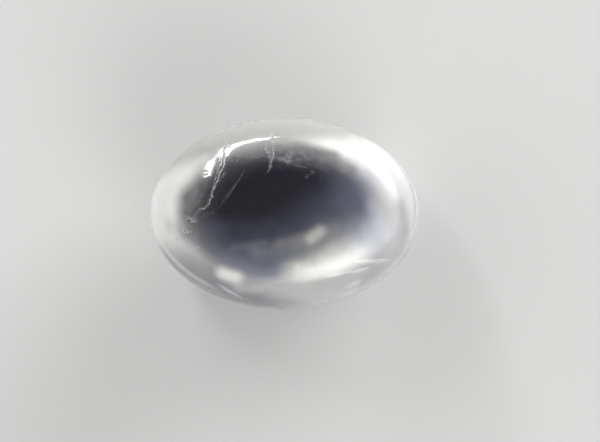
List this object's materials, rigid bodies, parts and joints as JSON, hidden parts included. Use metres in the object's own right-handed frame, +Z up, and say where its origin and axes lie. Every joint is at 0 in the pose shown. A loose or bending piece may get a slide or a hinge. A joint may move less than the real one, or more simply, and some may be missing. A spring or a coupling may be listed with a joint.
{
  "type": "moonstone cabochon",
  "caption": "Polished oval moonstone cabochon with a high clear dome, pearly rim and shallow rounded back, lying dome up on a small flat spot.",
  "frame": {"origin": "centre of the small flat spot on the back that the stone lies on", "axes": "+X along the oval's long axis, +Y along its short axis, +Z up through the top of the dome"},
  "size_m": [0.014, 0.01, 0.006],
  "materials": {
    "moonstone": "polished, milky and translucent, with a dark bluish window in the middle of the dome and a pale pearly rim"
  },
  "bodies": {
    "root": {"moonstone": "moonstone"}
  },
  "joints": []
}
